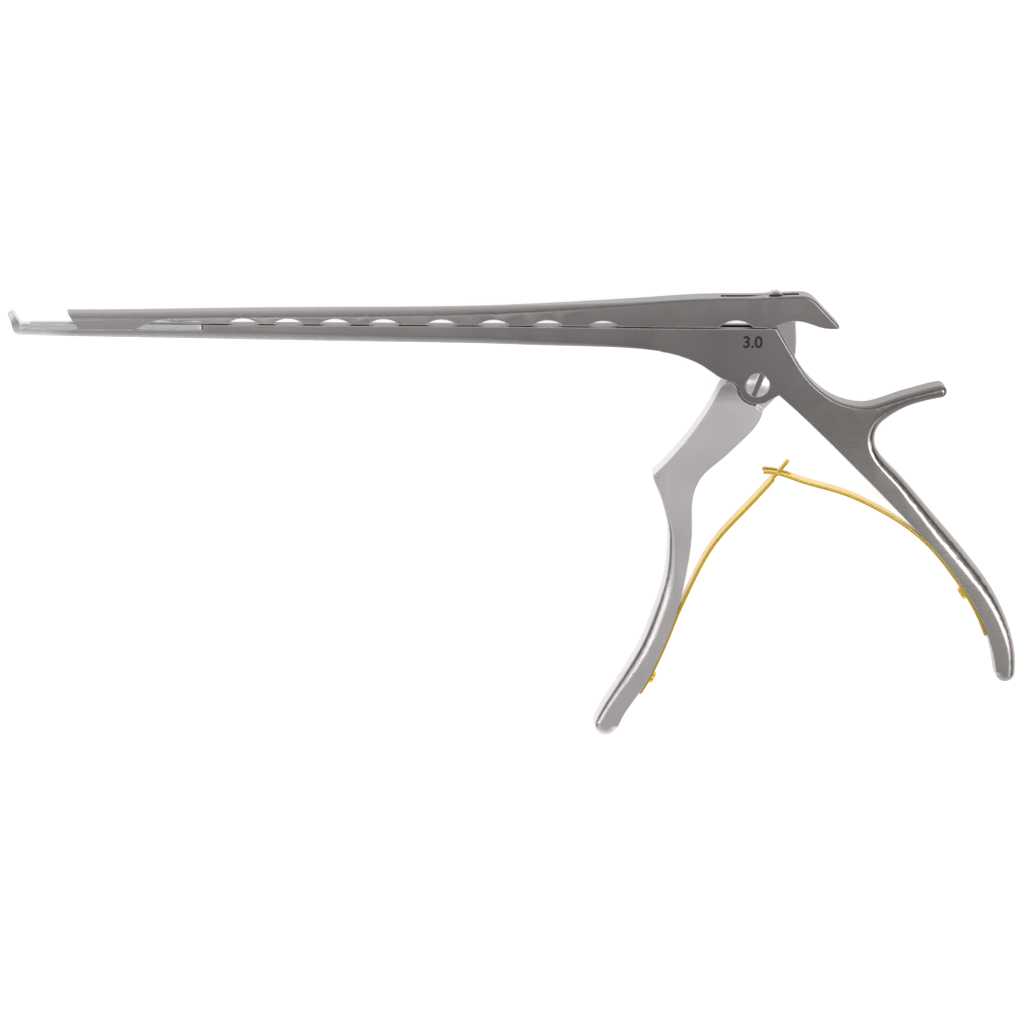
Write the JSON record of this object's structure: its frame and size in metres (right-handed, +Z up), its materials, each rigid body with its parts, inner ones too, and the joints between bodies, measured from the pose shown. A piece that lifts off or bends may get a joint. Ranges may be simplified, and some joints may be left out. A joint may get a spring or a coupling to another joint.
{
  "type": "bone rongeur",
  "caption": "Slender bone punch lying on its side: slotted footplate shaft, sliding upper shaft with a cutting cup, squeeze handles kept open by leaf springs.",
  "frame": {"origin": "middle of the outline on the surface that the instrument lies on", "axes": "+X along the shaft from the jaw towards the thumb rest, +Y from the handles towards the upper slide, +Z up, across the instrument"},
  "size_m": [0.2514, 0.1138, 0.0085],
  "materials": {
    "satin_steel": "satin stainless steel, fine grain along the shaft",
    "bright_steel": "turned and polished stainless steel",
    "gold_spring_steel": "satin spring steel with a golden tint",
    "spring_steel": "plain spring steel"
  },
  "bodies": {
    "frame_body": {"frame": "satin_steel", "pivot_screw": "bright_steel", "rear_leaf_spring": "gold_spring_steel", "rear_spring_screw": "bright_steel"},
    "trigger_body": {"front_handle": "satin_steel", "drive_pin": "bright_steel", "front_leaf_spring": "gold_spring_steel", "front_spring_screw": "bright_steel"},
    "slide_body": {"upper_slide": "satin_steel", "lever_pin": "bright_steel", "lever_spring": "spring_steel"},
    "catch_body": {"release_lever": "satin_steel", "release_button": "satin_steel"}
  },
  "joints": [
    {"name": "trigger", "type": "hinge", "parent": "frame_body", "child": "trigger_body", "pos_m": [0.05927, 0.03398, 0.004], "axis": [0, 0, 1], "range_deg": [0, 45], "stiffness_Nm_per_rad": 0.6, "springref_deg": -17.19, "deforming": ["front_leaf_spring", "rear_leaf_spring"]},
    {"name": "slide_travel", "type": "slide", "parent": "frame_body", "child": "slide_body", "axis": [-1, 0, 0], "range_m": [0, 0.0135]},
    {"name": "release", "type": "hinge", "parent": "slide_body", "child": "catch_body", "pos_m": [0.05107, 0.05483, 0.004], "axis": [0, 0, -1], "range_deg": [0, 2.4], "stiffness_Nm_per_rad": 0.05, "springref_deg": -5.73, "deforming": ["lever_spring"]}
  ],
  "couplings": [
    {"joint": "slide_travel", "follows": "trigger", "m_per_rad": 0.017151}
  ]
}
